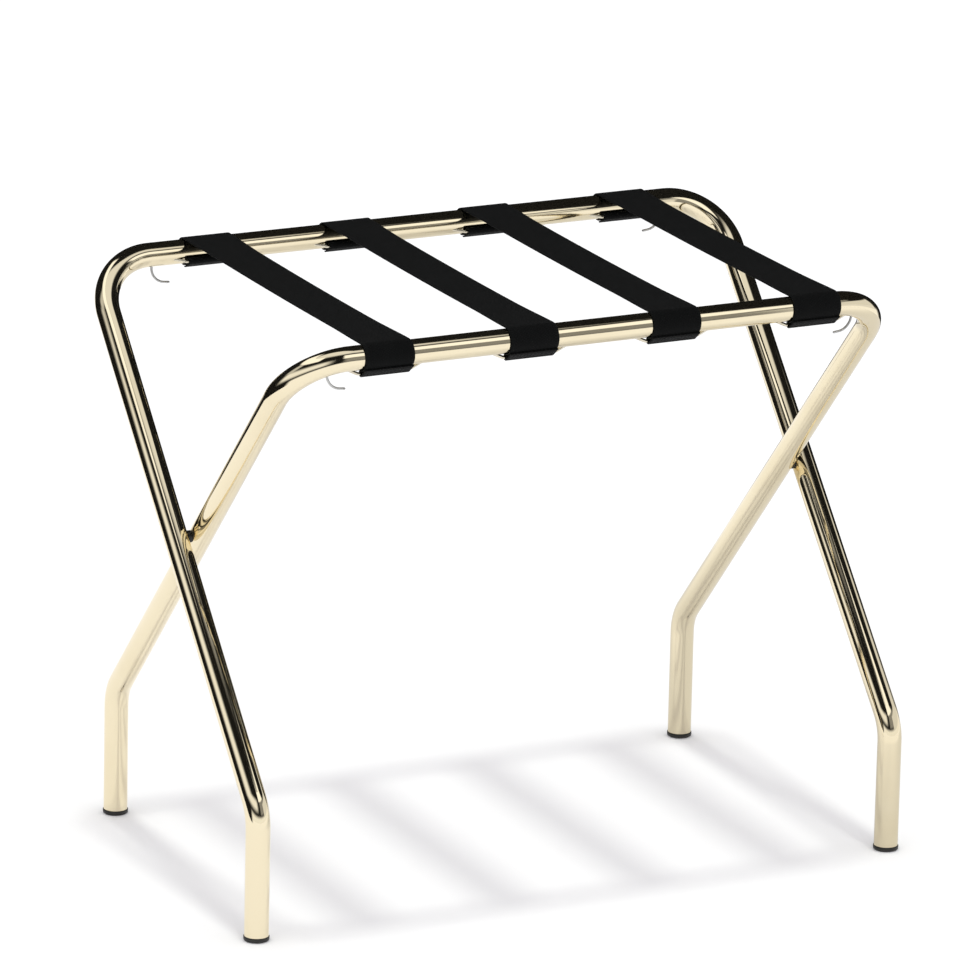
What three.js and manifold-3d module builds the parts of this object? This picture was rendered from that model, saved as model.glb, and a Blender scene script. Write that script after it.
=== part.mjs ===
import * as THREE from 'three';
import { mergeVertices } from 'three/addons/utils/BufferGeometryUtils.js';
import Module from 'manifold-3d';

// A folding luggage bench: two bent tube frames that cross at a pivot on each side, and webbing straps
// between their top rails. Millimetres, +X along the rails, -Y towards the front, floor at Z = 0.

const clearance = 0.3;

// Bent tubes. The outer frame carries the back rail and stands on the front feet.
const tubeRadius = 11;
const tubeWall = 1.2;
const tubeSides = 20;
const railHeight = 525;
const railOffset = 187.5;
const footOffset = 181;
const lowerBendHeight = 118;
const upperBendRadius = 54;
const lowerBendRadius = 40;
const outerLegX = 315.5;
const legSpacing = 24.2;
const innerLegX = outerLegX - legSpacing;
const upperBendSteps = 8;
const lowerBendSteps = 4;

// Plugs in the tube ends.
const capHeight = 4;
const capRadius = 11.6;
const capEdge = 1.4;
const capStemRadius = tubeRadius - tubeWall - clearance;
const capStemTop = 18;
const capSides = 24;

// Pivots.
const rivetRadius = 3;
const rivetHeadRadius = 4.5;
const rivetHeadHeight = 2;
const rivetSides = 20;
const washerRadius = 5.5;
const washerSides = 24;
const legRun = railOffset + footOffset;
const legRise = railHeight - lowerBendHeight;
const pivotHeight = lowerBendHeight + legRise * footOffset / legRun;

// Straps.
const strapCount = 4;
const strapPitch = 140;
const strapMiddleX = 6;
const strapWidth = 47;
const strapWaist = 44;
const strapFlare = 70;
const strapThickness = 1.5;
const sagAngle = THREE.MathUtils.degToRad(1);
const hemTailTurn = THREE.MathUtils.degToRad(10);
const spanSteps = 8;

// Wire staples that hold the strap hems under the rails. Those of the back rail lean in towards the middle.
const stapleRadius = 1.5;
const stapleBarHalf = 25.5;
const stapleEndReach = 38.5;
const stapleEndSlope = Math.tan(THREE.MathUtils.degToRad(25));
const stapleBendRadius = 7;
const stapleLean = { front: 0, back: THREE.MathUtils.degToRad(66) };
const wireSides = 10;

// Small wire hooks near the rail ends.
const hookRadius = 1.1;
const hookX = 258;
const hookInset = 5;
const hookDrop = 25.5;
const hookReach = 18;
const hookTipFall = 2;
const hookBendRadius = 14;

const strapCentres = Array.from(
  { length: strapCount },
  (_, i) => strapMiddleX + strapPitch * (i - (strapCount - 1) / 2),
);
const strapPathRadius = tubeRadius + clearance + strapThickness / 2;
const hemLoopRadius = stapleRadius + clearance + strapThickness / 2;
const hemTailRadius = strapPathRadius + strapThickness + clearance;
const stapleDrop = strapPathRadius + hemLoopRadius;

const brass = new THREE.MeshStandardMaterial({ color: 0xd9c48c, roughness: 0.12, metalness: 1 });
const brightWire = new THREE.MeshStandardMaterial({ color: 0xcfc3a2, roughness: 0.2, metalness: 1 });
const greyWire = new THREE.MeshStandardMaterial({ color: 0x9a9a98, roughness: 0.35, metalness: 1 });
const blackPlastic = new THREE.MeshStandardMaterial({ color: 0x17150f, roughness: 0.5, metalness: 0 });
const webbing = new THREE.MeshStandardMaterial({ color: 0x141517, roughness: 0.85, metalness: 0 });

const wasm = await Module();
wasm.setup();

const bench = new THREE.Group();
bench.name = 'luggage_bench';

// A line through corner points with rounded corners, kept as stations of a point and a direction.
class BentLine extends THREE.Curve {
  constructor(corners, radii, steps) {
    super();
    this.points = [];
    this.directions = [];
    const last = corners.length - 1;
    const along = (i) => corners[i + 1].clone().sub(corners[i]).normalize();
    this.addStation(corners[0], along(0));
    for (let i = 1; i < last; i += 1) {
      this.addBend(corners[i], along(i - 1), along(i), radii[i - 1], steps[i - 1]);
    }
    this.addStation(corners[last], along(last - 1));
  }

  addStation(point, direction) {
    this.points.push(point.clone());
    this.directions.push(direction.clone());
  }

  addBend(corner, before, after, radius, steps) {
    const turn = before.angleTo(after);
    const start = corner.clone().addScaledVector(before, -radius * Math.tan(turn / 2));
    const inward = after.clone().addScaledVector(before, -before.dot(after)).normalize();
    for (let k = 0; k <= steps; k += 1) {
      const angle = turn * k / steps;
      const point = start.clone().addScaledVector(before, radius * Math.sin(angle));
      point.addScaledVector(inward, radius * (1 - Math.cos(angle)));
      const direction = before.clone().multiplyScalar(Math.cos(angle));
      this.addStation(point, direction.addScaledVector(inward, Math.sin(angle)));
    }
  }

  stationIndex(u) {
    return Math.round(u * (this.points.length - 1));
  }

  getPoint(u) {
    return this.points[this.stationIndex(u)].clone();
  }

  getPointAt(u) {
    return this.getPoint(u);
  }

  getTangent(u) {
    return this.directions[this.stationIndex(u)].clone();
  }

  getTangentAt(u) {
    return this.getTangent(u);
  }

  getSpacedPoints(divisions) {
    return Array.from({ length: divisions + 1 }, (_, i) => this.getPoint(i / divisions));
  }
}

function ringPoints(radius, sides) {
  return Array.from({ length: sides }, (_, i) => {
    const angle = 2 * Math.PI * i / sides;
    return new THREE.Vector2(radius * Math.cos(angle), radius * Math.sin(angle));
  });
}

function sweep(line, radius, sides, boreRadius = 0) {
  const shape = new THREE.Shape(ringPoints(radius, sides));
  if (boreRadius > 0) {
    shape.holes.push(new THREE.Path(ringPoints(boreRadius, sides)));
  }
  return new THREE.ExtrudeGeometry(shape, {
    steps: line.points.length - 1,
    bevelEnabled: false,
    extrudePath: line,
  });
}

function toSolid(geometry) {
  const bare = geometry.clone();
  bare.deleteAttribute('normal');
  bare.deleteAttribute('uv');
  const merged = mergeVertices(bare, 1e-4);
  return new wasm.Manifold(new wasm.Mesh({
    numProp: 3,
    vertProperties: new Float32Array(merged.attributes.position.array),
    triVerts: new Uint32Array(merged.index.array),
  }));
}

function toGeometry(solid) {
  const mesh = solid.getMesh();
  const geometry = new THREE.BufferGeometry();
  geometry.setAttribute('position', new THREE.BufferAttribute(new Float32Array(mesh.vertProperties), 3));
  geometry.setIndex(new THREE.BufferAttribute(new Uint32Array(mesh.triVerts), 1));
  geometry.computeVertexNormals();
  return geometry;
}

function addPiece(name, geometry, material) {
  const mesh = new THREE.Mesh(geometry, material);
  mesh.name = name;
  bench.add(mesh);
}

function rodBetween(from, to, radius, sides) {
  return sweep(new BentLine([from, to], [], []), radius, sides);
}

// The two frames. depthSign is +1 where the rail is at the back.
const frames = {
  outer: { legX: outerLegX, depthSign: 1, railName: 'back', footName: 'front' },
  inner: { legX: innerLegX, depthSign: -1, railName: 'front', footName: 'back' },
};

function framePath({ legX, depthSign }) {
  const footY = -depthSign * footOffset;
  const railY = depthSign * railOffset;
  const half = (side) => [
    new THREE.Vector3(side * legX, footY, capHeight + clearance),
    new THREE.Vector3(side * legX, footY, lowerBendHeight),
    new THREE.Vector3(side * legX, railY, railHeight),
  ];
  const radii = [lowerBendRadius, upperBendRadius, upperBendRadius, lowerBendRadius];
  const steps = [lowerBendSteps, upperBendSteps, upperBendSteps, lowerBendSteps];
  return new BentLine([...half(-1), ...half(1).reverse()], radii, steps);
}

// The centre of a rail at a given X, which drops along the legs once it is in the upper bend.
function railCentre({ legX, depthSign }, x) {
  const past = Math.max(0, Math.abs(x) - (legX - upperBendRadius));
  const drop = upperBendRadius - Math.sqrt(upperBendRadius ** 2 - past ** 2);
  const legLength = Math.hypot(legRun, legRise);
  const y = depthSign * (railOffset - drop * legRun / legLength);
  return new THREE.Vector3(x, y, railHeight - drop * legRise / legLength);
}

function legDirection(depthSign) {
  return new THREE.Vector3(0, depthSign * legRun, legRise).normalize();
}

function staplePath({ depthSign, railName }, centreX) {
  const lean = stapleLean[railName];
  const endDrop = stapleDrop - (stapleEndReach - stapleBarHalf) * stapleEndSlope;
  const spot = (x, drop) => new THREE.Vector3(
    centreX + x,
    depthSign * (railOffset - drop * Math.sin(lean)),
    railHeight - drop * Math.cos(lean),
  );
  const corners = [
    spot(-stapleEndReach, endDrop),
    spot(-stapleBarHalf, stapleDrop),
    spot(stapleBarHalf, stapleDrop),
    spot(stapleEndReach, endDrop),
  ];
  return new BentLine(corners, [stapleBendRadius, stapleBendRadius], [4, 4]);
}

function hookPath(frame, side) {
  const top = railCentre(frame, side * hookX);
  const spot = (x, z) => new THREE.Vector3(side * x, top.y, railHeight - z);
  const corners = [
    spot(hookX, railHeight - top.z + hookInset),
    spot(hookX, hookDrop),
    spot(hookX - hookReach, hookDrop + hookTipFall),
  ];
  return new BentLine(corners, [hookBendRadius], [8]);
}

const sides = { left: -1, right: 1 };
const meetingX = (outerLegX + innerLegX) / 2;

for (const [frameName, frame] of Object.entries(frames)) {
  const path = framePath(frame);
  let tube = toSolid(sweep(path, tubeRadius, tubeSides, tubeRadius - tubeWall));

  strapCentres.forEach((centreX, i) => {
    const line = staplePath(frame, centreX);
    tube = tube.subtract(toSolid(sweep(line, stapleRadius + clearance, wireSides)));
    addPiece(`strap_staple_${frame.railName}_${i + 1}`, sweep(line, stapleRadius, wireSides), brightWire);
  });

  for (const [sideName, side] of Object.entries(sides)) {
    const hook = hookPath(frame, side);
    tube = tube.subtract(toSolid(sweep(hook, hookRadius + clearance, wireSides)));
    addPiece(`rail_hook_${frame.railName}_${sideName}`, sweep(hook, hookRadius, wireSides), greyWire);

    const boreFrom = new THREE.Vector3(side * frame.legX, 0, pivotHeight);
    const boreTo = new THREE.Vector3(side * meetingX, 0, pivotHeight);
    tube = tube.subtract(toSolid(rodBetween(boreFrom, boreTo, rivetRadius + clearance, rivetSides)));
  }
  addPiece(`${frameName}_frame_tube`, toGeometry(tube), brass);
}

// Foot caps: a flanged plug in each tube end.
const capProfile = [
  new THREE.Vector2(0, 0),
  new THREE.Vector2(capRadius - capEdge, 0),
  new THREE.Vector2(capRadius - 0.3 * capEdge, 0.3 * capEdge),
  new THREE.Vector2(capRadius, capEdge),
  new THREE.Vector2(capRadius, capHeight),
  new THREE.Vector2(capStemRadius, capHeight),
  new THREE.Vector2(capStemRadius, capStemTop - capEdge),
  new THREE.Vector2(capStemRadius - capEdge, capStemTop),
  new THREE.Vector2(0, capStemTop),
];
for (const frame of Object.values(frames)) {
  for (const [sideName, side] of Object.entries(sides)) {
    const cap = new THREE.LatheGeometry(capProfile, capSides);
    cap.rotateX(Math.PI / 2);
    cap.translate(side * frame.legX, -frame.depthSign * footOffset, 0);
    addPiece(`foot_cap_${frame.footName}_${sideName}`, cap, blackPlastic);
  }
}

// Pivots: a rivet through the facing walls of the two legs, headed inside each tube, and a saddle washer on
// each leg where they meet.
function legBlank(frame, side) {
  const centre = new THREE.Vector3(side * frame.legX, 0, pivotHeight);
  const reach = legDirection(frame.depthSign).multiplyScalar(3 * tubeRadius);
  const radius = tubeRadius + clearance;
  return toSolid(rodBetween(centre.clone().sub(reach), centre.clone().add(reach), radius, 2 * tubeSides));
}

function rodAlongX(side, fromX, toX, radius, rodSides) {
  const from = new THREE.Vector3(side * fromX, 0, pivotHeight);
  const to = new THREE.Vector3(side * toX, 0, pivotHeight);
  return toSolid(rodBetween(from, to, radius, rodSides));
}

const headSeat = Math.sqrt((tubeRadius - tubeWall) ** 2 - rivetHeadRadius ** 2) - clearance;
const headBack = headSeat - rivetHeadHeight;
for (const [sideName, side] of Object.entries(sides)) {
  const outerHead = rodAlongX(side, outerLegX - headSeat, outerLegX - headBack, rivetHeadRadius, rivetSides);
  const innerHead = rodAlongX(side, innerLegX + headSeat, innerLegX + headBack, rivetHeadRadius, rivetSides);
  const shankFrom = innerLegX + headBack + 0.2;
  const shankTo = outerLegX - headBack - 0.2;
  const shank = rodAlongX(side, shankFrom, shankTo, rivetRadius, rivetSides);
  addPiece(`pivot_rivet_${sideName}`, toGeometry(shank.add(outerHead).add(innerHead)), brass);

  for (const [frameName, frame] of Object.entries(frames)) {
    const away = Math.sign(frame.legX - meetingX);
    const face = meetingX + away * clearance / 2;
    const blank = rodAlongX(side, face, frame.legX, washerRadius, washerSides);
    const bore = rodAlongX(side, innerLegX, outerLegX, rivetRadius + clearance, rivetSides);
    const washer = blank.subtract(legBlank(frame, side)).subtract(bore);
    addPiece(`${frameName}_saddle_washer_${sideName}`, toGeometry(washer), blackPlastic);
  }
}

// Straps: one ribbon each, hemmed round the staple bar under a rail, up round the rail's outer side, over
// its top and across to the other rail.
function arcPoints(centreY, centreZ, radius, from, to, steps) {
  return Array.from({ length: steps + 1 }, (_, i) => {
    const angle = from + (to - from) * i / steps;
    return new THREE.Vector2(centreY + radius * Math.cos(angle), centreZ + radius * Math.sin(angle));
  });
}

function strapHalfPath(lean) {
  const railY = -railOffset;
  const barY = railY + stapleDrop * Math.sin(lean);
  const barZ = railHeight - stapleDrop * Math.cos(lean);
  const tailLeave = lean - Math.PI + Math.asin((hemTailRadius - hemLoopRadius) / stapleDrop);
  const top = Math.PI / 2;
  return [
    ...arcPoints(railY, railHeight, hemTailRadius, tailLeave - hemTailTurn, tailLeave, 2),
    ...arcPoints(barY, barZ, hemLoopRadius, tailLeave, top + lean, 10),
    ...arcPoints(railY, railHeight, strapPathRadius, lean - top, -3 * top - sagAngle, 15).slice(1),
  ];
}

function strapPath() {
  const front = strapHalfPath(stapleLean.front);
  const start = front[front.length - 1];
  const sag = -start.x * Math.tan(sagAngle) / 2;
  const span = Array.from({ length: spanSteps - 1 }, (_, i) => {
    const along = 2 * (i + 1) / spanSteps - 1;
    return new THREE.Vector2(-along * start.x, start.y - sag * (1 - along * along));
  });
  const back = strapHalfPath(stapleLean.back).map((p) => new THREE.Vector2(-p.x, p.y)).reverse();
  return [...front, ...span, ...back];
}

function ribbonShape(path, thickness) {
  const offset = path.map((point, i) => {
    const before = path[Math.max(i - 1, 0)];
    const after = path[Math.min(i + 1, path.length - 1)];
    const along = after.clone().sub(before).normalize();
    return new THREE.Vector2(-along.y, along.x).multiplyScalar(thickness / 2);
  });
  const left = path.map((point, i) => point.clone().add(offset[i]));
  const right = path.map((point, i) => point.clone().sub(offset[i]));
  return new THREE.Shape([...left, ...right.reverse()]);
}

// The webbing lies flat on the rails and draws in a little between them.
function strapBreadth(y) {
  const along = THREE.MathUtils.smoothstep(railOffset - Math.abs(y), 0, strapFlare);
  return THREE.MathUtils.lerp(strapWidth, strapWaist, along);
}

const strapOutline = ribbonShape(strapPath(), strapThickness);
strapCentres.forEach((centreX, i) => {
  const strap = new THREE.ExtrudeGeometry(strapOutline, { depth: strapWidth, steps: 1, bevelEnabled: false });
  const axes = new THREE.Matrix4().makeBasis(
    new THREE.Vector3(0, 1, 0),
    new THREE.Vector3(0, 0, 1),
    new THREE.Vector3(1, 0, 0),
  );
  strap.translate(0, 0, -strapWidth / 2);
  strap.applyMatrix4(axes);
  const spots = strap.attributes.position;
  for (let k = 0; k < spots.count; k += 1) {
    spots.setX(k, centreX + spots.getX(k) * strapBreadth(spots.getY(k)) / strapWidth);
  }
  addPiece(`webbing_strap_${i + 1}`, strap, webbing);
});

export default bench;
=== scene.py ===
import math

import bmesh
import bpy
from mathutils import Matrix, Vector


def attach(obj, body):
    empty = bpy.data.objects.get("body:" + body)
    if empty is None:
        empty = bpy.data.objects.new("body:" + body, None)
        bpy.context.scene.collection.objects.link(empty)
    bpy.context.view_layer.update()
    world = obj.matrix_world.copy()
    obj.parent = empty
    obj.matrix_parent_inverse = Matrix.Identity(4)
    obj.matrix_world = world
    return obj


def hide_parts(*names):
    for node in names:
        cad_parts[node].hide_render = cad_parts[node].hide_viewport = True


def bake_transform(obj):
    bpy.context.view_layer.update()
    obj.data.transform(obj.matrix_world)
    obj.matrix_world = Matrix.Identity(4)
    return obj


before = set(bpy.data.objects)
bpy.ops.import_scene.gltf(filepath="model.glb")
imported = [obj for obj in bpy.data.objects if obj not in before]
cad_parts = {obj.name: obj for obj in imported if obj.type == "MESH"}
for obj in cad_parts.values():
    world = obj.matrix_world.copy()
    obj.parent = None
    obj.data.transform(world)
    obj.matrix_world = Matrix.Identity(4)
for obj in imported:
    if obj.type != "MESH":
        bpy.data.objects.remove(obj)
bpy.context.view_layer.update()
mm = 0.001
scene = bpy.context.scene
scene.view_settings.view_transform = "Standard"
print("frame loaded:", len(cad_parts), "nodes")

# camera: long lens from the front left, a little above the rails
cameraSettings = {
    "aim": (0.0, 0.0, 0.25),  # point on the rack that the angles are taken from
    "azimuth": -26.613,
    "elevation": 17.377,
    "roll": 1.316,
    "distance": 7.75,
    "pixelFocal": 8559.87,
    "pixelSpot": (493.305, 570.714),  # where the aim point lands in the picture
    "picture": 960,
    "sensor": 36,
    "clipEnd": 100,
}


def addObject(name, data):
    obj = bpy.data.objects.new(name, data)
    scene.collection.objects.link(obj)
    return obj


def makeCamera(cfg):
    az, el, roll = (math.radians(cfg[k]) for k in ("azimuth", "elevation", "roll"))
    back = Vector((math.sin(az) * math.cos(el), -math.cos(az) * math.cos(el), math.sin(el)))
    right = (-back).cross(Vector((0, 0, 1))).normalized()
    up = right.cross(-back)
    side = right * math.cos(roll) + up * math.sin(roll)
    top = up * math.cos(roll) - right * math.sin(roll)
    half = cfg["picture"] / 2
    dx = (half - cfg["pixelSpot"][0]) / cfg["pixelFocal"]
    dy = (cfg["pixelSpot"][1] - half) / cfg["pixelFocal"]
    look = (-back + side * dx + top * dy).normalized()  # turned, so the lens needs no shift
    side = look.cross(top).normalized()
    top = side.cross(look)
    data = bpy.data.cameras.new("rackCamera")
    data.sensor_width = cfg["sensor"]
    data.lens = cfg["pixelFocal"] * data.sensor_width / cfg["picture"]
    data.clip_end = cfg["clipEnd"]
    cam = addObject("rackCamera", data)
    turn = Matrix((side, top, -look)).transposed().to_4x4()
    cam.matrix_world = Matrix.Translation(Vector(cfg["aim"]) + back * cfg["distance"]) @ turn
    scene.camera = cam


makeCamera(cameraSettings)


# shader sockets that can be added, multiplied and so on
class Flow:
    def __init__(self, tree, socket=None):
        self.tree = tree
        self.socket = socket

    def node(self, kind, settings=None, inputs=None, out=0):
        made = self.tree.nodes.new(kind)
        for key, value in (settings or {}).items():
            setattr(made, key, value)
        for key, value in (inputs or {}).items():
            if isinstance(value, Flow):
                self.tree.links.new(value.socket, made.inputs[key])
            else:
                made.inputs[key].default_value = value
        return Flow(self.tree, made.outputs[out]) if made.outputs else made

    def maths(self, operation, a, b=0.0):
        return self.node("ShaderNodeMath", {"operation": operation}, {0: a, 1: b})

    def __add__(self, other):
        return self.maths("ADD", self, other)

    def __radd__(self, other):
        return self.maths("ADD", other, self)

    def __sub__(self, other):
        return self.maths("SUBTRACT", self, other)

    def __rsub__(self, other):
        return self.maths("SUBTRACT", other, self)

    def __mul__(self, other):
        return self.maths("MULTIPLY", self, other)

    def __truediv__(self, other):
        return self.maths("DIVIDE", self, other)

    def sine(self):
        return self.maths("SINE", self)

    def size(self):
        return self.maths("ABSOLUTE", self)

    def ease(self, low, high):
        return self.node("ShaderNodeMapRange", {"interpolation_type": "SMOOTHSTEP"},
                         {"Value": self, "From Min": low, "From Max": high})

    def pick(self, one, two):
        kind = {"data_type": "RGBA"}
        return self.node("ShaderNodeMix", kind, {0: self, 6: one, 7: two}, out=2)

    def xyz(self):
        split = self.node("ShaderNodeSeparateXYZ", None, {0: self}).socket.node
        return [Flow(self.tree, s) for s in split.outputs]


def newMaterial(name, fixed):
    mat = bpy.data.materials.new(name)
    mat.use_nodes = True
    shader = mat.node_tree.nodes["Principled BSDF"]
    for key, value in fixed.items():
        shader.inputs[key].default_value = value
    return mat, Flow(mat.node_tree), shader


def feed(shader, key, flow):
    flow.tree.links.new(flow.socket, shader.inputs[key])


def objectSpot(flow):
    return flow.node("ShaderNodeTexCoord", out=3)


def noise(flow, where, scale, detail=3.0, rough=0.5):
    sockets = {"Vector": where, "Scale": scale, "Detail": detail, "Roughness": rough}
    return flow.node("ShaderNodeTexNoise", None, sockets)


def bump(flow, height, depth):
    return flow.node("ShaderNodeBump", None, {"Strength": 1.0, "Distance": depth, "Height": height})


def bareTree(owner):
    owner.use_nodes = True
    owner.node_tree.nodes.clear()
    return Flow(owner.node_tree)


def showSurface(flow, surface, kind):
    output = flow.node("ShaderNodeOutput" + kind)
    flow.tree.links.new(surface.socket, output.inputs["Surface"])


# polished pale brass plate
brassFinish = {
    "bright": (0.872, 0.774, 0.56, 1),
    "dull": (0.812, 0.706, 0.489, 1),
    "roughness": 0.055,
    "smudge": 0.07,
    "dullShare": 0.6,
    "patchScale": 9.0,
    "patchEdge": (0.45, 0.75),
    "smearScale": 63.0,
    "smearEdge": (0.5, 0.8),
    "grainScale": 900.0,
    "grainDepth": 0.000004,
}


def makeBrass(cfg):
    mat, flow, shader = newMaterial("polishedBrass", {"Metallic": 1.0})
    spot = objectSpot(flow)
    patches = noise(flow, spot, cfg["patchScale"], 4.0, 0.6).ease(*cfg["patchEdge"])
    smears = noise(flow, spot, cfg["smearScale"]).ease(*cfg["smearEdge"])
    feed(shader, "Base Color", (patches * cfg["dullShare"]).pick(cfg["bright"], cfg["dull"]))
    feed(shader, "Roughness", patches * smears * cfg["smudge"] + cfg["roughness"])
    grain = noise(flow, spot, cfg["grainScale"], 2.0)
    feed(shader, "Normal", bump(flow, grain, cfg["grainDepth"]))
    return mat


# drawn wire, bright for the staples and dull grey for the hooks
stapleFinish = {"bright": (0.78, 0.72, 0.58, 1), "dull": (0.62, 0.56, 0.44, 1), "roughness": 0.12}
hookFinish = {"bright": (0.62, 0.62, 0.61, 1), "dull": (0.48, 0.48, 0.475, 1), "roughness": 0.4}
wireTexture = {
    "patchScale": 120.0,
    "patchEdge": (0.4, 0.7),
    "patchRoughness": 0.12,
    "grainScale": 1500.0,
    "grainDepth": 0.00001,
}


def makeWire(name, cfg, texture):
    mat, flow, shader = newMaterial(name, {"Metallic": 1.0})
    spot = objectSpot(flow)
    patches = noise(flow, spot, texture["patchScale"]).ease(*texture["patchEdge"])
    feed(shader, "Base Color", patches.pick(cfg["bright"], cfg["dull"]))
    feed(shader, "Roughness", patches * texture["patchRoughness"] + cfg["roughness"])
    grain = noise(flow, spot, texture["grainScale"], 1.0)
    feed(shader, "Normal", bump(flow, grain, texture["grainDepth"]))
    return mat


# moulded dark plastic for the caps and washers
plasticFinish = {
    "dark": (0.010, 0.009, 0.007, 1),
    "worn": (0.035, 0.032, 0.027, 1),
    "specular": 0.5,
    "roughness": 0.42,
    "scuffRoughness": 0.2,
    "scuffScale": 260.0,
    "scuffEdge": (0.55, 0.75),
    "grainScale": 1800.0,
    "grainDepth": 0.00002,
}


def makePlastic(cfg):
    mat, flow, shader = newMaterial("darkPlastic", {"Specular IOR Level": cfg["specular"]})
    spot = objectSpot(flow)
    scuffs = noise(flow, spot, cfg["scuffScale"], 5.0, 0.7).ease(*cfg["scuffEdge"])
    feed(shader, "Base Color", scuffs.pick(cfg["dark"], cfg["worn"]))
    feed(shader, "Roughness", scuffs * cfg["scuffRoughness"] + cfg["roughness"])
    grain = noise(flow, spot, cfg["grainScale"], 2.0)
    feed(shader, "Normal", bump(flow, grain, cfg["grainDepth"]))
    return mat


# black webbing: ribs across the width, picks along the length, plain selvedges
webbingFinish = {
    "black": (0.0022, 0.0025, 0.0025, 1),
    # painted highlight on the raised threads, which real wear also lightens
    "ribHighlightAndWear": (0.0062, 0.0068, 0.0068, 1),
    "ribPitch": 0.0017,
    "pickPitch": 0.0023,
    "halfWidth": 0.023,
    "selvedge": 0.0022,
    "selvedgeBlend": 1.4,  # the weave starts to give way this many selvedges in
    "depth": 0.00022,
    "roughness": 0.72,
    "sheen": 0.02,
    "sheenRoughness": 0.4,
    "specular": 0.12,
    "fuzzScale": 700.0,
    "fuzzRoughness": 0.2,
    "fuzzHeight": 0.3,
    "wearScale": 28.0,
    "wearEdge": (0.45, 0.75),
    "ribHighlightAndWearShare": (0.35, 0.4),  # painted highlight on the raised threads always, and real wear more where worn
}


def makeWebbing(cfg):
    mat, flow, shader = newMaterial("blackWebbing", {
        "Sheen Weight": cfg["sheen"],
        "Sheen Roughness": cfg["sheenRoughness"],
        "Specular IOR Level": cfg["specular"],
    })
    across, along, _ = flow.node("ShaderNodeUVMap", {"uv_map": "cloth"}).xyz()
    rib = (across * (math.pi / cfg["ribPitch"])).sine()
    ribRow = flow.maths("SIGN", rib)
    pick = (along * (math.tau / cfg["pickPitch"]) + ribRow * (math.pi / 2)).sine()
    inner = cfg["halfWidth"] - cfg["selvedge"] * cfg["selvedgeBlend"]
    edge = across.size().ease(inner, cfg["halfWidth"] - cfg["selvedge"])
    weave = rib.size() * (pick * 0.5 + 0.5)
    cords = (along * (math.pi / cfg["pickPitch"])).sine().size()
    height = weave + edge * (cords - weave)
    fuzz = noise(flow, objectSpot(flow), cfg["fuzzScale"], 3.0, 0.7)
    wear = noise(flow, objectSpot(flow), cfg["wearScale"]).ease(*cfg["wearEdge"])
    always, worn = cfg["ribHighlightAndWearShare"]
    # painted shade and highlight: the weave's grooves are coloured darker and its raised threads lighter,
    # and real wear lightens the raised threads more
    feed(shader, "Base Color", (height * (always + wear * worn)).pick(cfg["black"], cfg["ribHighlightAndWear"]))
    feed(shader, "Roughness", fuzz * cfg["fuzzRoughness"] + cfg["roughness"])
    feed(shader, "Normal", bump(flow, height + fuzz * cfg["fuzzHeight"], cfg["depth"]))
    return mat


# black sewing thread
threadFinish = {
    "dark": (0.010, 0.010, 0.011, 1),
    "light": (0.035, 0.035, 0.037, 1),
    "sheen": 0.2,
    "roughness": 0.6,
    "strandScale": 2200.0,
    "strandDepth": 0.0001,
}


def makeThread(cfg):
    fixed = {"Sheen Weight": cfg["sheen"], "Roughness": cfg["roughness"]}
    mat, flow, shader = newMaterial("blackThread", fixed)
    strands = noise(flow, objectSpot(flow), cfg["strandScale"], 2.0)
    feed(shader, "Base Color", strands.pick(cfg["dark"], cfg["light"]))
    feed(shader, "Normal", bump(flow, strands, cfg["strandDepth"]))
    return mat


brass = makeBrass(brassFinish)
stapleWire = makeWire("brightWire", stapleFinish, wireTexture)
hookWire = makeWire("greyWire", hookFinish, wireTexture)
plastic = makePlastic(plasticFinish)
webbing = makeWebbing(webbingFinish)
thread = makeThread(threadFinish)
print("materials made")

# sizes of the rack, the same as its solids
tube = {
    "radius": 11 * mm,
    "railHeight": 525 * mm,
    "railOffset": 187.5 * mm,
    "footOffset": 181 * mm,
    "bendHeight": 118 * mm,
    "upperBend": 54 * mm,
    "lowerBend": 40 * mm,
    "outerX": 315.5 * mm,
    "innerX": 291.3 * mm,
    "footEnd": 4.3 * mm,
    "sides": 72,
    "bendStep": 2.0,  # degrees
    "stationGap": 30 * mm,
}
legRun = tube["railOffset"] + tube["footOffset"]
legRise = tube["railHeight"] - tube["bendHeight"]
legLength = math.hypot(legRun, legRise)
frames = {
    "outer": {"legX": tube["outerX"], "sign": 1, "rail": "back", "foot": "front", "body": "outer_frame"},
    "inner": {"legX": tube["innerX"], "sign": -1, "rail": "front", "foot": "back", "body": "inner_frame"},
}
sides = {"left": -1, "right": 1}
rimAngle = {"metal": 35, "webbing": 60, "cap": 40}  # degrees from which an edge is drawn sharp
weldGap = 1e-7
wireSides = 24


def bentLine(corners, radii, step):
    pts = [Vector(corners[0])]
    for i, radius in enumerate(radii, 1):
        corner = Vector(corners[i])
        before = (corner - Vector(corners[i - 1])).normalized()
        after = (Vector(corners[i + 1]) - corner).normalized()
        turn = before.angle(after)
        inward = (after - before * before.dot(after)).normalized()
        start = corner - before * radius * math.tan(turn / 2)
        count = max(2, math.ceil(math.degrees(turn) / step))
        for k in range(count + 1):
            a = turn * k / count
            pts.append(start + before * radius * math.sin(a) + inward * radius * (1 - math.cos(a)))
    pts.append(Vector(corners[-1]))
    return pts


def spaced(pts, gap):
    out = [pts[0]]
    for a, b in zip(pts, pts[1:]):
        n = max(1, math.ceil((b - a).length / gap))
        out += [a.lerp(b, k / n) for k in range(1, n + 1)]
    return out


# geometry nodes: what every tree starts and ends with
def startTree(name, inputs):
    tree = bpy.data.node_groups.new(name, "GeometryNodeTree")
    for label, kind in inputs.items():
        tree.interface.new_socket(label, in_out="INPUT", socket_type="NodeSocket" + kind)
    tree.interface.new_socket("Shape", in_out="OUTPUT", socket_type="NodeSocketGeometry")
    given = tree.nodes.new("NodeGroupInput")
    return Flow(tree), [Flow(tree, given.outputs[label]) for label in inputs]


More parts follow.
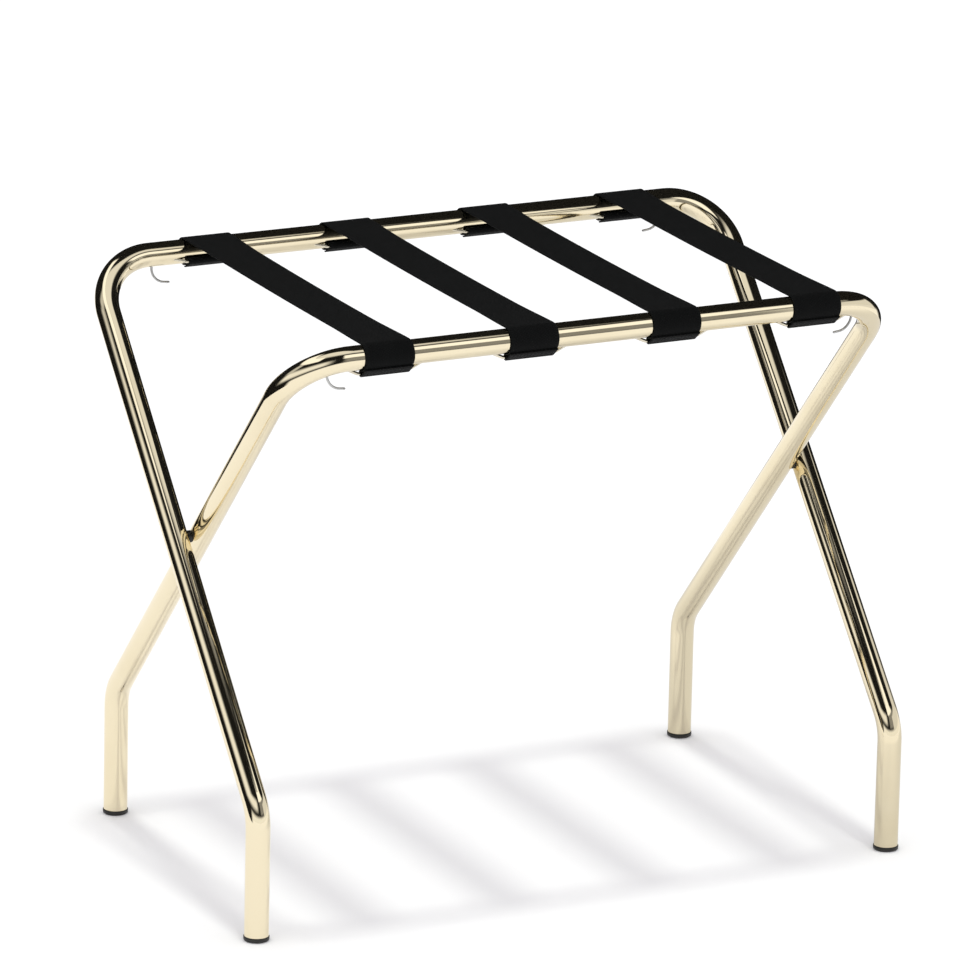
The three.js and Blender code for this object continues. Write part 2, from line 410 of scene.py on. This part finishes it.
def endTree(flow, shape, finish):
    real = flow.node("GeometryNodeRealizeInstances", None, {"Geometry": shape})
    painted = flow.node("GeometryNodeSetMaterial", None, {"Geometry": real, "Material": finish})
    output = flow.tree.nodes.new("NodeGroupOutput")
    flow.tree.links.new(painted.socket, output.inputs["Shape"])
    return flow.tree


def sweep(flow, curve, ring, scale):
    sockets = {"Curve": curve, "Profile Curve": ring, "Scale": scale, "Fill Caps": True}
    swept = flow.node("GeometryNodeCurveToMesh", None, sockets)
    return flow.node("GeometryNodeSetShadeSmooth", None, {"Geometry": swept, "Shade Smooth": True})


# a round bar that follows a line of points, its girth read from the points
def makeBarTree():
    inputs = {"Line": "Geometry", "Radius": "Float", "Sides": "Int", "Finish": "Material"}
    flow, (line, radius, count, finish) = startTree("roundBar", inputs)
    curve = flow.node("GeometryNodeMeshToCurve", None, {"Mesh": line})
    girth = flow.node("GeometryNodeInputNamedAttribute", {"data_type": "FLOAT"}, {"Name": "girth"})
    ring = flow.node("GeometryNodeCurvePrimitiveCircle", {"mode": "RADIUS"},
                     {"Resolution": count, "Radius": radius})
    return endTree(flow, sweep(flow, curve, ring, girth), finish)


barTree = makeBarTree()


def socketKey(tree, name):
    return next(i.identifier for i in tree.interface.items_tree
                if i.item_type == "SOCKET" and i.in_out == "INPUT" and i.name == name)


def bake(obj, tree, values):
    mod = obj.modifiers.new("shape", "NODES")
    mod.node_group = tree
    for name, value in values.items():
        mod[socketKey(tree, name)] = value
    bpy.context.view_layer.update()
    graph = bpy.context.evaluated_depsgraph_get()
    mesh = bpy.data.meshes.new_from_object(obj.evaluated_get(graph))
    obj.modifiers.remove(mod)
    obj.data = mesh


def lineObject(name, lines, girths=None):
    mesh = bpy.data.meshes.new(name)
    verts, edges, sizes = [], [], []
    for i, pts in enumerate(lines):
        start = len(verts)
        verts += [tuple(p) for p in pts]
        edges += [(start + k, start + k + 1) for k in range(len(pts) - 1)]
        sizes += girths[i] if girths else [1.0] * len(pts)
    mesh.from_pydata(verts, edges, [])
    mesh.attributes.new("girth", "FLOAT", "POINT").data.foreach_set("value", sizes)
    return addObject(name, mesh)


# rounded wire end: shares of the wire's radius
tip = {"steps": 6, "least": 0.02, "point": 0.05, "pointInset": 0.001}


def roundEnd(pts, radius, cfg):
    last = pts[-1]
    inward = (pts[-2] - last).normalized()
    angles = [math.pi / 2 * k / cfg["steps"] for k in range(cfg["steps"], 0, -1)]
    dome = [last + inward * radius * (1 - math.cos(a)) for a in angles]
    thin = [max(cfg["least"], math.sin(a)) for a in angles]
    girth = [1.0] * (len(pts) - 1) + thin + [cfg["point"]]
    return pts[:-1] + dome + [last + inward * radius * cfg["pointInset"]], girth


def bar(name, pts, radius, count, finish, girth=None):
    obj = lineObject(name, [pts], [girth] if girth else None)
    bake(obj, barTree, {"Radius": radius, "Sides": count, "Finish": finish})
    fixNormals(obj)
    return obj


def fixNormals(obj):
    work = bmesh.new()
    work.from_mesh(obj.data)
    bmesh.ops.remove_doubles(work, verts=work.verts, dist=weldGap)
    bmesh.ops.recalc_face_normals(work, faces=work.faces)
    work.to_mesh(obj.data)
    work.free()


def sharpRims(obj, angle):
    obj.data.set_sharp_from_angle(angle=math.radians(angle))


# the two bent tubes
def framePath(spec):
    footY = -spec["sign"] * tube["footOffset"]
    railY = spec["sign"] * tube["railOffset"]

    def half(side):
        x = side * spec["legX"]
        foot, knee = (x, footY, tube["footEnd"]), (x, footY, tube["bendHeight"])
        return [foot, knee, (x, railY, tube["railHeight"])]

    radii = [tube["lowerBend"], tube["upperBend"], tube["upperBend"], tube["lowerBend"]]
    return bentLine(half(-1) + half(1)[::-1], radii, tube["bendStep"])


for frameName, spec in frames.items():
    line = spaced(framePath(spec), tube["stationGap"])
    piece = bar(spec["rail"] + "RailFrame", line, tube["radius"], tube["sides"], brass)
    sharpRims(piece, rimAngle["metal"])
    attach(piece, spec["body"])
    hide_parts(frameName + "_frame_tube")
print("tubes bent")


def railCentre(spec, x):
    past = max(0.0, abs(x) - (spec["legX"] - tube["upperBend"]))
    drop = tube["upperBend"] - math.sqrt(tube["upperBend"] ** 2 - past ** 2)
    y = spec["sign"] * (tube["railOffset"] - drop * legRun / legLength)
    return Vector((x, y, tube["railHeight"] - drop * legRise / legLength))


# webbing straps: hemmed round a staple under each rail, up round the rail and across
strap = {
    "count": 4,
    "pitch": 140 * mm,
    "middle": 6 * mm,
    "width": 47 * mm,
    "waist": 44 * mm,
    "flare": 70 * mm,
    "thickness": 1.45 * mm,
    "layer": 1.5 * mm,  # room that the path keeps for one thickness
    "seat": 0.3 * mm,  # room between webbing and metal
    "sag": math.radians(1),
    "tailTurn": math.radians(10),
    "turnInset": 4 * mm,  # where the fold takes hold, inside the rails' centres
    "across": 24,
    "edgeSteps": 6,
    "tailSteps": 4,
    "loopSteps": 24,
    "railSteps": 44,
    "spanSteps": 60,
}
staple = {
    "radius": 1.5 * mm,
    "bar": 25.5 * mm,
    "reach": 38.5 * mm,
    "slope": math.tan(math.radians(25)),
    "bend": 7 * mm,
    "bendStep": 3,  # degrees
    "lean": {"front": 0.0, "back": math.radians(66)},  # in towards the middle of the rack
}
strapRadius = tube["radius"] + strap["seat"] + strap["layer"] / 2
loopRadius = staple["radius"] + strap["seat"] + strap["layer"] / 2
tailRadius = strapRadius + strap["layer"] + strap["seat"]
stapleDrop = strapRadius + loopRadius
strapSteps = [i - (strap["count"] - 1) / 2 for i in range(strap["count"])]
strapCentres = [strap["middle"] + strap["pitch"] * step for step in strapSteps]


def arc(centreY, centreZ, radius, begin, end, steps):
    angles = [begin + (end - begin) * i / steps for i in range(steps + 1)]
    return [Vector((centreY + radius * math.cos(a), centreZ + radius * math.sin(a))) for a in angles]


def tailLeave(lean):
    return lean - math.pi + math.asin((tailRadius - loopRadius) / stapleDrop)


def strapHalf(lean):
    railY, railZ = -tube["railOffset"], tube["railHeight"]
    barY = railY + stapleDrop * math.sin(lean)
    barZ = railZ - stapleDrop * math.cos(lean)
    leave = tailLeave(lean)
    top = math.pi / 2
    half = arc(railY, railZ, tailRadius, leave - strap["tailTurn"], leave, strap["tailSteps"])
    half += arc(barY, barZ, loopRadius, leave, top + lean, strap["loopSteps"])
    end = -3 * top - strap["sag"]
    half += arc(railY, railZ, strapRadius, lean - top, end, strap["railSteps"])[1:]
    return half


def strapPath():
    front = strapHalf(staple["lean"]["front"])
    back = [Vector((-p.x, p.y)) for p in reversed(strapHalf(staple["lean"]["back"]))]
    start = front[-1]
    sag = -start.x * math.tan(strap["sag"]) / 2
    steps = strap["spanSteps"]
    spread = [2 * (i + 1) / steps - 1 for i in range(steps - 1)]
    span = [Vector((-u * start.x, start.y - sag * (1 - u * u))) for u in spread]
    return front + span + back


def strapBreadth(y):
    u = min(1.0, max(0.0, (tube["railOffset"] - abs(y)) / strap["flare"]))
    return strap["width"] + (strap["waist"] - strap["width"]) * u * u * (3 - 2 * u)


def ribbonRing(half, thick, n, edgeSteps):
    flat = half - thick / 2
    upper = [(flat * (2 * k / n - 1), thick / 2) for k in range(n + 1)]
    turns = [math.pi / 2 - math.pi * k / edgeSteps for k in range(1, edgeSteps)]
    right = [(flat + thick / 2 * math.cos(a), thick / 2 * math.sin(a)) for a in turns]
    lower = [(-x, -z) for x, z in upper]
    left = [(-x, -z) for x, z in right]
    return upper + right + lower + left


def makeStrap(name, centreX):
    path = strapPath()
    rings, lengths, run = [], [], 0.0
    for i, p in enumerate(path):
        before, after = path[max(i - 1, 0)], path[min(i + 1, len(path) - 1)]
        ahead = (after - before).normalized()
        out = Vector((-ahead.y, ahead.x))
        run += (p - path[i - 1]).length if i else 0.0
        lengths.append(run)
        half = strapBreadth(p.x) / 2
        ring = ribbonRing(half, strap["thickness"], strap["across"], strap["edgeSteps"])
        rings.append([(centreX + x, p.x + out.x * h, p.y + out.y * h) for x, h in ring])
    count = len(rings[0])
    verts = [v for ring in rings for v in ring]
    faces = []
    for i in range(len(rings) - 1):
        a, b = i * count, (i + 1) * count
        faces += [(a + k, a + (k + 1) % count, b + (k + 1) % count, b + k) for k in range(count)]
    faces.append(tuple(range(count)))
    faces.append(tuple(range(len(verts) - count, len(verts))))
    mesh = bpy.data.meshes.new(name)
    mesh.from_pydata(verts, [], faces)
    mesh.polygons.foreach_set("use_smooth", [True] * len(faces))
    flatMap = mesh.uv_layers.new(name="cloth")
    for loop in mesh.loops:
        station = loop.vertex_index // count
        offset = verts[loop.vertex_index][0] - centreX
        spread = offset * strap["width"] / strapBreadth(path[station].x)
        flatMap.data[loop.index].uv = (spread, lengths[station])
    mesh.materials.append(webbing)
    obj = addObject(name, mesh)
    work = bmesh.new()
    work.from_mesh(mesh)
    bmesh.ops.recalc_face_normals(work, faces=work.faces)
    work.to_mesh(mesh)
    work.free()
    sharpRims(obj, rimAngle["webbing"])
    return obj, run


for i, centreX in enumerate(strapCentres):
    piece, strapLength = makeStrap("strapWebbing%d" % (i + 1), centreX)
    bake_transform(piece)
    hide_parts("webbing_strap_%d" % (i + 1))
print("straps laid, each", round(strapLength, 4), "m long")


# hem stitches: short arched threads in rows across each hem
stitch = {
    "pitch": 3.2 * mm,
    "long": 2.5 * mm,
    "thick": 0.2 * mm,
    "sink": 0.25 * mm,
    "crown": 0.55 * mm,
    "halfRow": 20.8 * mm,
    "sides": 8,
    "steps": 8,
    "rows": (1.6 * mm, 4.4 * mm),  # past the place where the hem leaves the rail's round
}


def makeStitchTree(cfg):
    inputs = {"Line": "Geometry", "Pitch": "Float", "Turn": "Vector", "Finish": "Material"}
    flow, (line, pitch, turn, finish) = startTree("stitchRun", inputs)
    rows = flow.node("GeometryNodeMeshToCurve", None, {"Mesh": line})
    spots = flow.node("GeometryNodeCurveToPoints", {"mode": "LENGTH"}, {"Curve": rows, "Length": pitch})
    end = cfg["long"] / 2
    arch = flow.node("GeometryNodeCurveQuadraticBezier", None, {
        "Resolution": cfg["steps"],
        "Start": (-end, 0, -cfg["sink"]),
        "Middle": (0, 0, cfg["crown"]),
        "End": (end, 0, -cfg["sink"]),
    })
    ring = flow.node("GeometryNodeCurvePrimitiveCircle", {"mode": "RADIUS"},
                     {"Resolution": cfg["sides"], "Radius": cfg["thick"]})
    many = flow.node("GeometryNodeInstanceOnPoints", None,
                     {"Points": spots, "Instance": sweep(flow, arch, ring, 1.0), "Rotation": turn})
    return endTree(flow, many, finish)


stitchTree = makeStitchTree(stitch)


def stitchRows(spec):
    leave = tailLeave(staple["lean"][spec["rail"]])
    out = Vector((math.cos(leave), math.sin(leave)))
    along = Vector((-out.y, out.x))
    rows = []
    for past in stitch["rows"]:
        spot = out * (tailRadius + strap["thickness"] / 2) + along * past
        y = -spec["sign"] * (-tube["railOffset"] + spot.x)
        z = tube["railHeight"] + spot.y
        rows += [[Vector((x + end * stitch["halfRow"], y, z)) for end in (-1, 1)] for x in strapCentres]
    return rows, math.atan2(-out.x * -spec["sign"], out.y)


for spec in frames.values():
    rows, turn = stitchRows(spec)
    piece = lineObject("hemStitches_" + spec["rail"], rows)
    bake(piece, stitchTree, {"Pitch": stitch["pitch"], "Turn": (turn, 0, 0), "Finish": thread})
    fixNormals(piece)
    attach(piece, spec["body"])
print("hems stitched")


# wire staples under the rails, one to each hem
def staplePath(spec, centreX):
    rise = stapleDrop - (staple["reach"] - staple["bar"]) * staple["slope"]
    right = [(staple["bar"], stapleDrop), (staple["reach"], rise)]
    ends = [(-x, drop) for x, drop in reversed(right)] + right
    lean = staple["lean"][spec["rail"]]
    inward, down = math.sin(lean), math.cos(lean)
    return bentLine([
        (centreX + x, spec["sign"] * (tube["railOffset"] - drop * inward), tube["railHeight"] - drop * down)
        for x, drop in ends
    ], [staple["bend"]] * 2, staple["bendStep"])


# small wire hooks under the rail ends
hook = {
    "radius": 1.1 * mm,
    "x": 258 * mm,
    "inset": 5 * mm,
    "drop": 25.5 * mm,
    "reach": 18 * mm,
    "fall": 2 * mm,
    "bend": 14 * mm,
    "bendStep": 5,  # degrees
}


def hookPath(spec, side):
    top = railCentre(spec, side * hook["x"])
    low = tube["railHeight"] - hook["drop"]
    return bentLine([
        (side * hook["x"], top.y, top.z - hook["inset"]),
        (side * hook["x"], top.y, low),
        (side * (hook["x"] - hook["reach"]), top.y, low - hook["fall"]),
    ], [hook["bend"]], hook["bendStep"])


for spec in frames.values():
    for i, centreX in enumerate(strapCentres):
        line = staplePath(spec, centreX)
        piece = bar("staple_%s_%d" % (spec["rail"], i + 1), line, staple["radius"], wireSides, stapleWire)
        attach(piece, spec["body"])
        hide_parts("strap_staple_%s_%d" % (spec["rail"], i + 1))
    for sideName, side in sides.items():
        line, girth = roundEnd(hookPath(spec, side), hook["radius"], tip)
        name = "hook_%s_%s" % (spec["rail"], sideName)
        piece = bar(name, line, hook["radius"], wireSides, hookWire, girth)
        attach(piece, spec["body"])
        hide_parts("rail_hook_%s_%s" % (spec["rail"], sideName))
print("wires bent")


# turned foot caps
def turned(name, profile, place, finish, count):
    work = bmesh.new()
    ring = [work.verts.new((r, 0, h)) for r, h in profile]
    edges = [work.edges.new(pair) for pair in zip(ring, ring[1:])]
    bmesh.ops.spin(work, geom=ring + edges, cent=(0, 0, 0), axis=(0, 0, 1), angle=math.tau, steps=count)
    bmesh.ops.remove_doubles(work, verts=work.verts, dist=weldGap)
    bmesh.ops.recalc_face_normals(work, faces=work.faces)
    for f in work.faces:
        f.smooth = True
    work.transform(Matrix.Translation(place))
    mesh = bpy.data.meshes.new(name)
    work.to_mesh(mesh)
    work.free()
    mesh.materials.append(finish)
    obj = addObject(name, mesh)
    sharpRims(obj, rimAngle["cap"])
    return obj


def rounded(centreR, centreH, radius, begin, end, steps):
    angles = [math.radians(begin + (end - begin) * k / steps) for k in range(steps + 1)]
    return [(centreR + radius * math.cos(a), centreH + radius * math.sin(a)) for a in angles]


cap = {
    "radius": 11.6 * mm,
    "height": 4 * mm,
    "edge": 1.5 * mm,
    "edgeSteps": 6,
    "lip": 0.5 * mm,
    "lipSteps": 4,
    "stem": 9.4 * mm,
    "stemTop": 18 * mm,
    "chamfer": 1 * mm,
    "recess": 0.6 * mm,  # shallow moulded hollow underneath
    "recessFloor": 7.4 * mm,
    "recessRim": 7.8 * mm,
    "sides": 64,
}


def capProfile(cfg):
    radius, height, edge, lip = (cfg[k] for k in ("radius", "height", "edge", "lip"))
    stem, top, chamfer = cfg["stem"], cfg["stemTop"], cfg["chamfer"]
    out = [(0, cfg["recess"]), (cfg["recessFloor"], cfg["recess"]), (cfg["recessRim"], 0.0)]
    out += rounded(radius - edge, edge, edge, -90, 0, cfg["edgeSteps"])
    out += rounded(radius - lip, height - lip, lip, 0, 90, cfg["lipSteps"])
    out += [(stem, height), (stem, top - chamfer), (stem - chamfer, top), (0, top)]
    return out


for spec in frames.values():
    for sideName, side in sides.items():
        place = Vector((side * spec["legX"], -spec["sign"] * tube["footOffset"], 0))
        name = "footCap_%s_%s" % (spec["foot"], sideName)
        piece = turned(name, capProfile(cap), place, plastic, cap["sides"])
        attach(piece, spec["body"])
        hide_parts("foot_cap_%s_%s" % (spec["foot"], sideName))


# the hidden rivets and the washers keep the shapes of their solids
def dress(node, finish):
    node.data.materials.clear()
    node.data.materials.append(finish)
    node.data.polygons.foreach_set("use_smooth", [True] * len(node.data.polygons))
    sharpRims(node, rimAngle["metal"])


for sideName in sides:
    for frameName in frames:
        dress(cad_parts["%s_saddle_washer_%s" % (frameName, sideName)], plastic)
    dress(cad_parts["pivot_rivet_" + sideName], brass)
print("caps and pivots set")

# floor and light: a white floor, a pale sky and a dark tent with soft windows that only the metal shows
stage = {
    "floorSize": 40.0,
    "floorDrop": 0.2 * mm,  # just under the caps
    "floorRoughness": 0.9,
    "floorColour": (0.92, 0.92, 0.925, 1),
    "floorLift": 0.06,  # what the camera and the metal see on top of the light
    "ambient": (0.862, 0.852, 0.872, 1),
    "sunStrength": 0.8,
    "sunColour": (1.0, 1.03, 0.96),
    "sunAngle": 6.0,
}
tent = {
    "centre": (0.0, 0.0, 0.3),
    "radius": 1.5,
    "segments": 96,
    "rings": 48,
    "cloth": (0.012, 0.012, 0.012, 1),
    "windows": [  # middle and half width round the compass from the front, the same in height, blur, level
        ((-63, 41), (22, 10), 13, 0.99),
        ((-39, 87), (90, 29), 12, 0.87),
        ((-104, 51), (56, 8), 4, 1.22),
        ((-102, 11), (40, 11), 8, 0.6),
        ((19, 23), (41.5, 10.5), 4, 1.22),
        ((25, 26), (20, 14), 6, 0.27),
        ((15, 84), (-11, 13), 8, 1.0),
        ((62, 32), (3, 21), 4, 0.79),
        ((178, 22), (-12, 12), 8, 1.0),
    ],
}


def plainSight(flow):
    path = flow.node("ShaderNodeLightPath").socket.node
    rays = ("Is Camera Ray", "Is Glossy Ray", "Is Transmission Ray")
    seen, mirrored, through = (Flow(flow.tree, path.outputs[k]) for k in rays)
    return flow.maths("MINIMUM", seen + mirrored + through, 1.0)


def makeFloor(cfg):
    bpy.ops.mesh.primitive_plane_add(size=cfg["floorSize"])
    floor = bpy.context.object
    floor.name = "paleFloor"
    floor.data.transform(Matrix.Translation((0, 0, -cfg["floorDrop"])))
    mat, flow, shader = newMaterial("paleFloor", {
        "Base Color": cfg["floorColour"],
        "Roughness": cfg["floorRoughness"],
        "Specular IOR Level": 0.0,
        "Emission Strength": 1.0,
    })
    feed(shader, "Emission Color", plainSight(flow) * cfg["floorLift"])
    floor.data.materials.append(mat)


def tentWindow(compass, height, wide, tall, blur, level):
    middle, half = wide
    off = compass - middle
    turns = off - off.maths("FLOOR", off / 360 + 0.5) * 360
    across = 1.0 - turns.size().ease(half - blur * 0.75, half + blur * 0.75)
    middle, half = tall
    upright = 1.0 - (height - middle).size().ease(half - blur / 2, half + blur / 2)
    return across * upright * level


def metalOnly(obj):
    for kind in ("camera", "diffuse", "transmission", "volume_scatter", "shadow"):
        setattr(obj, "visible_" + kind, False)


def makeTent(cfg):
    work = bmesh.new()
    bmesh.ops.create_uvsphere(
        work, u_segments=cfg["segments"], v_segments=cfg["rings"], radius=cfg["radius"])
    work.transform(Matrix.Translation(cfg["centre"]))
    mesh = bpy.data.meshes.new("darkTent")
    work.to_mesh(mesh)
    work.free()
    mat = bpy.data.materials.new("darkTent")
    flow = bareTree(mat)
    fromCentre = flow.node("ShaderNodeVectorMath", {"operation": "SUBTRACT"},
                           {0: objectSpot(flow), 1: cfg["centre"]})
    way = flow.node("ShaderNodeVectorMath", {"operation": "NORMALIZE"}, {0: fromCentre})
    across, depth, rise = way.xyz()
    compass = flow.maths("ARCTAN2", across, 0.0 - depth) * math.degrees(1)
    height = flow.maths("ARCSINE", rise) * math.degrees(1)
    level = None
    for window in cfg["windows"]:
        one = tentWindow(compass, height, *window)
        level = one if level is None else flow.maths("MAXIMUM", level, one)
    cloth = flow.node("ShaderNodeBsdfDiffuse", None, {"Color": cfg["cloth"]})
    hole = flow.node("ShaderNodeBsdfTransparent")
    both = flow.node("ShaderNodeMixShader", None, {0: flow.maths("MINIMUM", level, 1.0), 1: cloth, 2: hole})
    glow = flow.node("ShaderNodeEmission", None, {"Color": flow.maths("MAXIMUM", level - 1.0, 0.0)})
    lit = flow.node("ShaderNodeAddShader", None, {0: both, 1: glow})
    showSurface(flow, lit, "Material")
    mesh.materials.append(mat)
    obj = addObject("darkTent", mesh)
    metalOnly(obj)


# painted shade: a thin dark sheet over the floor to the right and back, seen by the metal alone, so that
# the floor's reflection in the metal is darker there
floorReflectionShade = {
    "low": (-0.2, -1.2),
    "high": (1.4, 1.3),
    "height": 0.002,
    "across": (-0.1, 0.25),  # where the painted shade deepens from left to right
    "back": (-0.75, -0.15),  # and from front to back
    "share": 0.24,
    "colour": (0.02, 0.019, 0.017, 1),
}


def makeFloorReflectionShade(cfg):
    (x0, y0), (x1, y1), z = cfg["low"], cfg["high"], cfg["height"]
    mesh = bpy.data.meshes.new("floorReflectionShade")
    mesh.from_pydata([(x0, y0, z), (x1, y0, z), (x1, y1, z), (x0, y1, z)], [], [(0, 1, 2, 3)])
    mat = bpy.data.materials.new("floorReflectionShade")
    flow = bareTree(mat)
    across, back, _ = objectSpot(flow).xyz()
    share = across.ease(*cfg["across"]) * back.ease(*cfg["back"]) * cfg["share"]
    # painted shade: the dark sheet that darkens the floor's reflection
    cloth = flow.node("ShaderNodeBsdfDiffuse", None, {"Color": cfg["colour"]})
    hole = flow.node("ShaderNodeBsdfTransparent")
    both = flow.node("ShaderNodeMixShader", None, {0: share, 1: hole, 2: cloth})
    showSurface(flow, both, "Material")
    mesh.materials.append(mat)
    obj = addObject("floorReflectionShade", mesh)
    metalOnly(obj)


def makeWorld(cfg):
    world = bpy.data.worlds.new("studio")
    scene.world = world
    flow = bareTree(world)
    shown = plainSight(flow).pick(cfg["ambient"], (1, 1, 1, 1))
    back = flow.node("ShaderNodeBackground", None, {"Color": shown, "Strength": 1.0})
    showSurface(flow, back, "World")


def makeSun(cfg):
    sun = bpy.data.lights.new("overhead", "SUN")
    sun.energy = cfg["sunStrength"]
    sun.color = cfg["sunColour"]
    sun.angle = math.radians(cfg["sunAngle"])
    lamp = addObject("overhead", sun)
    lamp.visible_glossy = False


makeFloor(stage)
makeTent(tent)
makeFloorReflectionShade(floorReflectionShade)
makeWorld(stage)
makeSun(stage)
print("floor and lights set")
